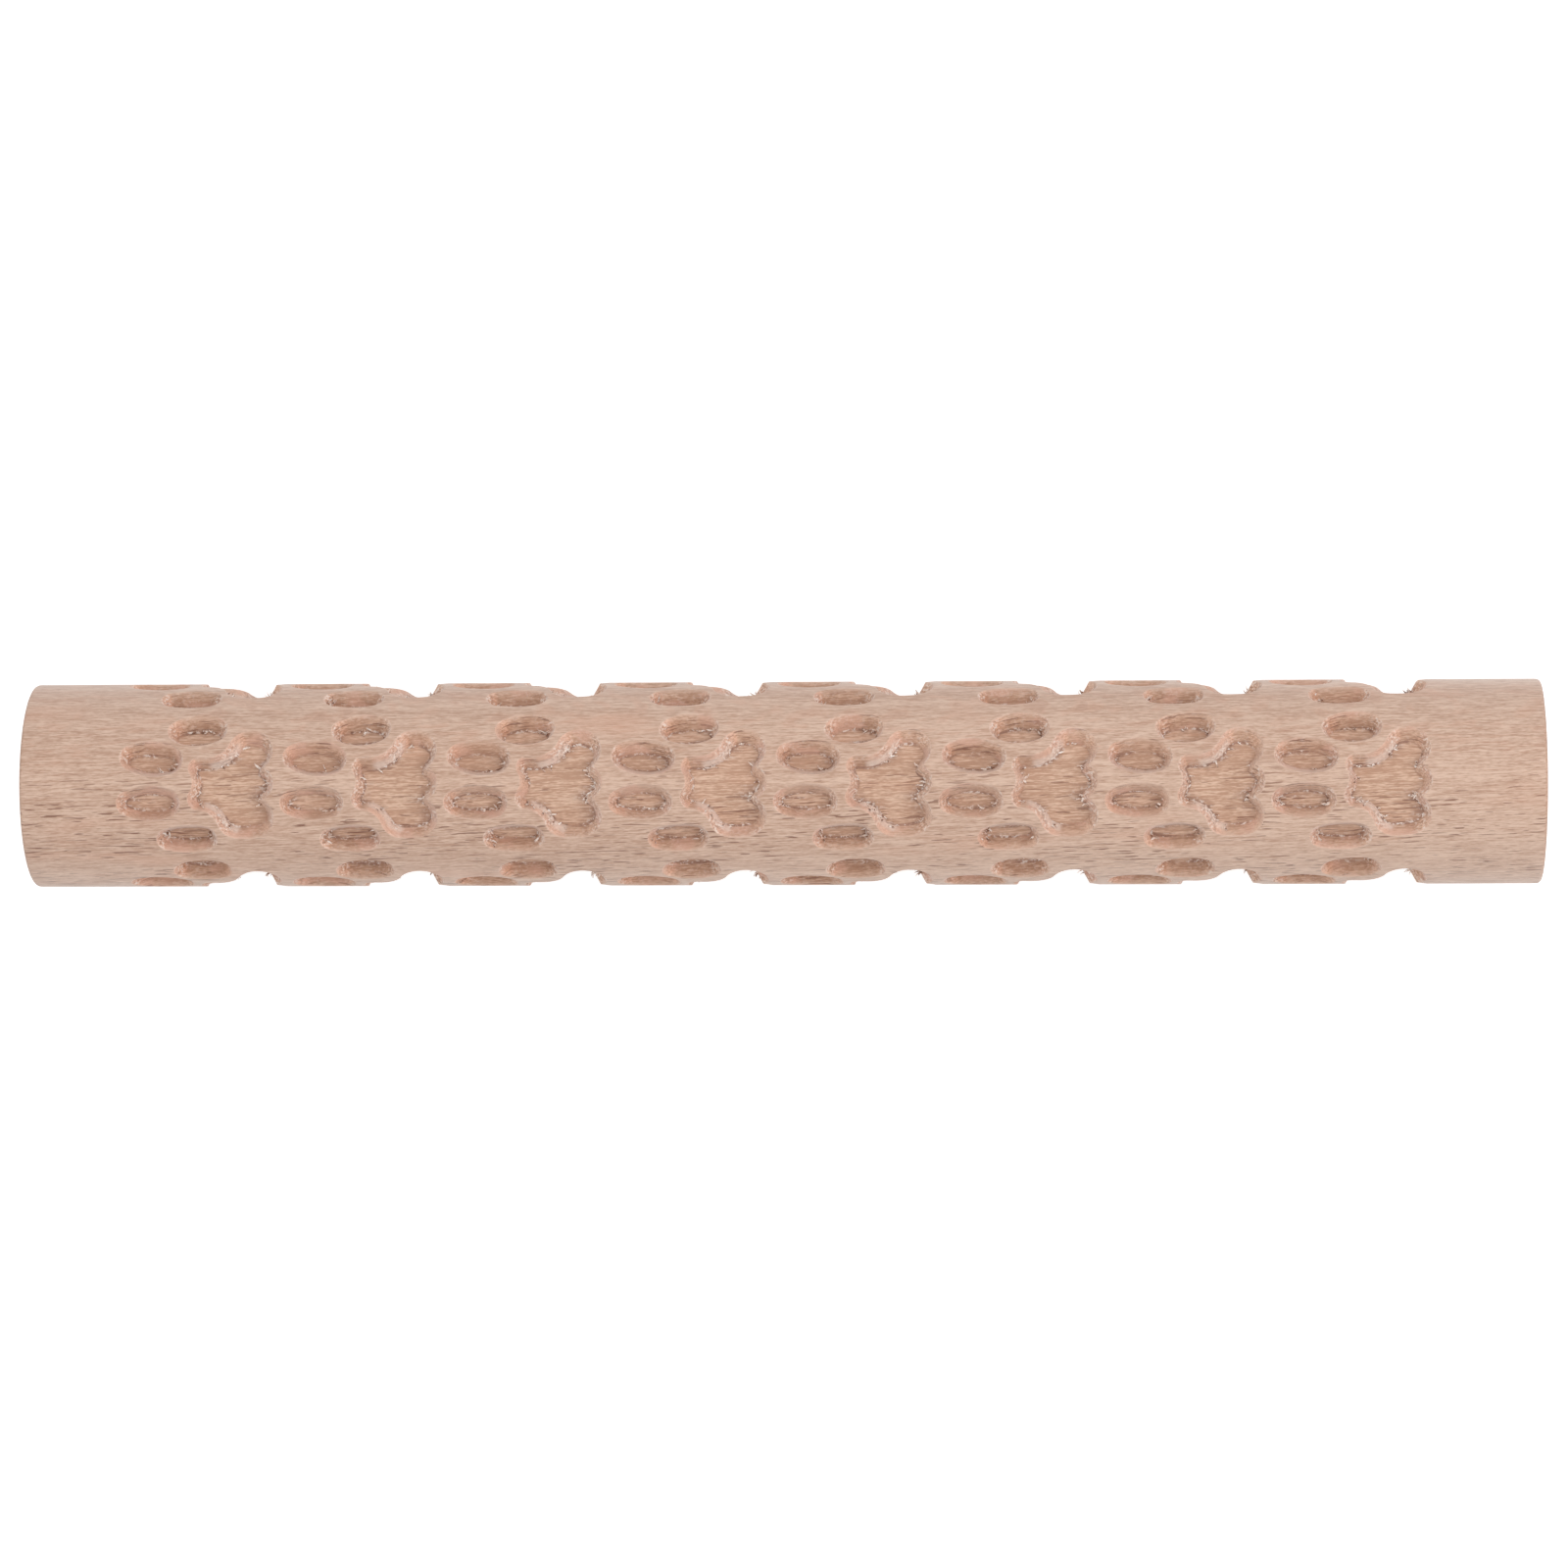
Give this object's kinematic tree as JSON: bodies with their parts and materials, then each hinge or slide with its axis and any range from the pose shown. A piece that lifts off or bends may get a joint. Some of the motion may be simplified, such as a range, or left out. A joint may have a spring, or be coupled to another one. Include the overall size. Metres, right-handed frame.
{
  "type": "pattern roller",
  "caption": "Plain cylindrical wooden roller, carved all round with rows of paw-print pockets, for pressing a repeating texture into clay or dough by hand.",
  "frame": {"origin": "centre of the roller, on its own axis, midway between the two ends", "axes": "+X along the roller's axis, towards the heel side of the paws; +Z out through the middle of one row of paws; the toes point to -X"},
  "size_m": [0.148, 0.02, 0.02],
  "materials": {
    "beech": "bare sanded beech, matte, with fine grain and flecks"
  },
  "bodies": {
    "root": {"pattern_roller": "beech"}
  },
  "joints": []
}
